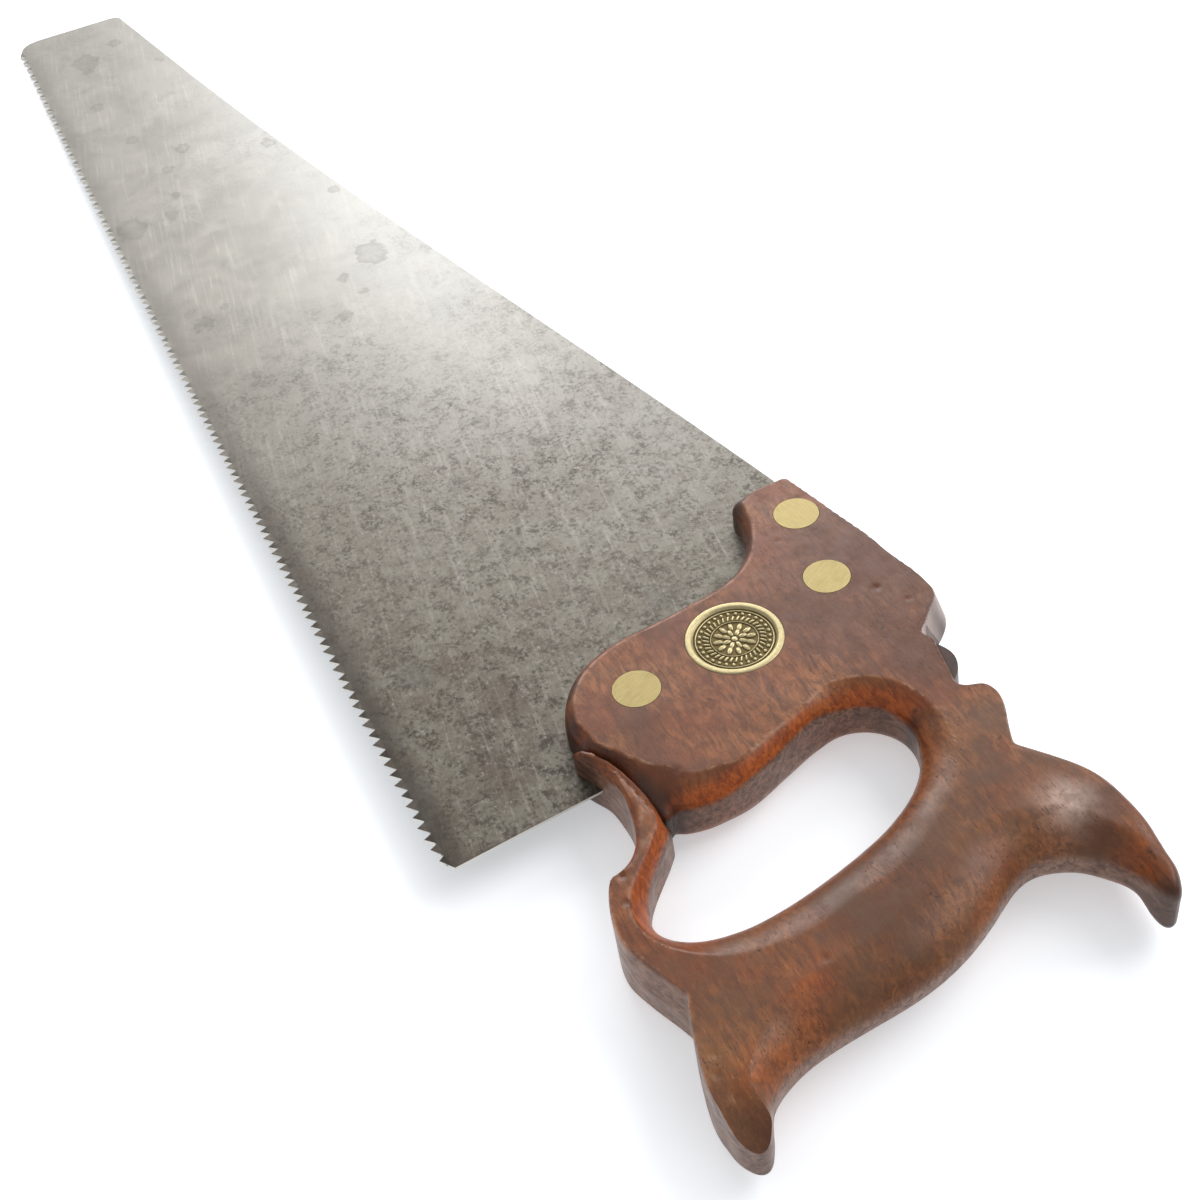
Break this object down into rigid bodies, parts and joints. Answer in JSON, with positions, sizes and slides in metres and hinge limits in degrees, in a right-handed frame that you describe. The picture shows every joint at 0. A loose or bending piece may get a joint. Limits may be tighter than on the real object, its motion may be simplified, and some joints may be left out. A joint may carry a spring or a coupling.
{
  "type": "hand saw",
  "caption": "Hand saw with a tapered steel plate, a closed carved wooden handle, and brass split-nut screws with a dished medallion.",
  "frame": {"origin": "centre of the bounding box, on the plane that the right cheek of the handle rests on", "axes": "+X from the toe to the handle along the teeth, +Y from the teeth to the back, +Z out of the left face with the medallion"},
  "size_m": [0.7214, 0.1676, 0.021],
  "materials": {
    "steel": "aged, grey-brown patina with pitting and stains",
    "wood": "worn satin varnish on reddish-brown beech",
    "brass": "filed flush, dull",
    "medallion_brass": "struck relief with dark patina in the dish"
  },
  "bodies": {
    "root": {"saw_plate": "steel", "handle": "wood", "medallion": "medallion_brass", "medallion_stud": "brass", "upper_screw": "brass", "middle_screw": "brass", "lower_screw": "brass", "upper_nut": "brass", "middle_nut": "brass", "lower_nut": "brass", "medallion_nut": "brass"}
  },
  "joints": []
}
